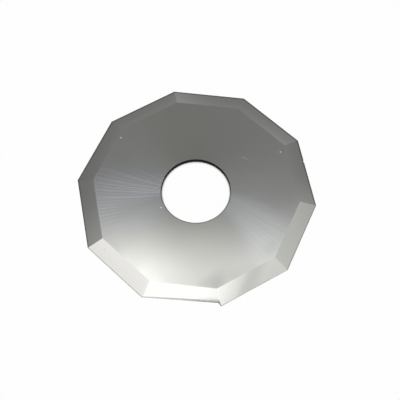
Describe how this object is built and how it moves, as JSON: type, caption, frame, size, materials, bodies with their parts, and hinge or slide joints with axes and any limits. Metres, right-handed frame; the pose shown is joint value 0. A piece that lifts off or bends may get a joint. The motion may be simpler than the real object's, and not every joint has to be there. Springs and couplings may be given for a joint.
{
  "type": "rotary cutter blade",
  "caption": "Flat decagonal rotary cutter blade with a central bore, an edge ground from the front alone, and a ground-back side that ends in a small spur.",
  "frame": {"origin": "centre of the bore in the plane of the back, which is also the plane of the cutting edge", "axes": "+Z along the bore's axis, out of the ground front; two opposite corners lie on the X axis; the ground-back side faces -Y"},
  "size_m": [0.028, 0.0266, 0.0006],
  "materials": {
    "ground_steel": "fine ground tool steel, with faint radial grinding lines on the front"
  },
  "bodies": {
    "root": {"blade": "ground_steel"}
  },
  "joints": []
}
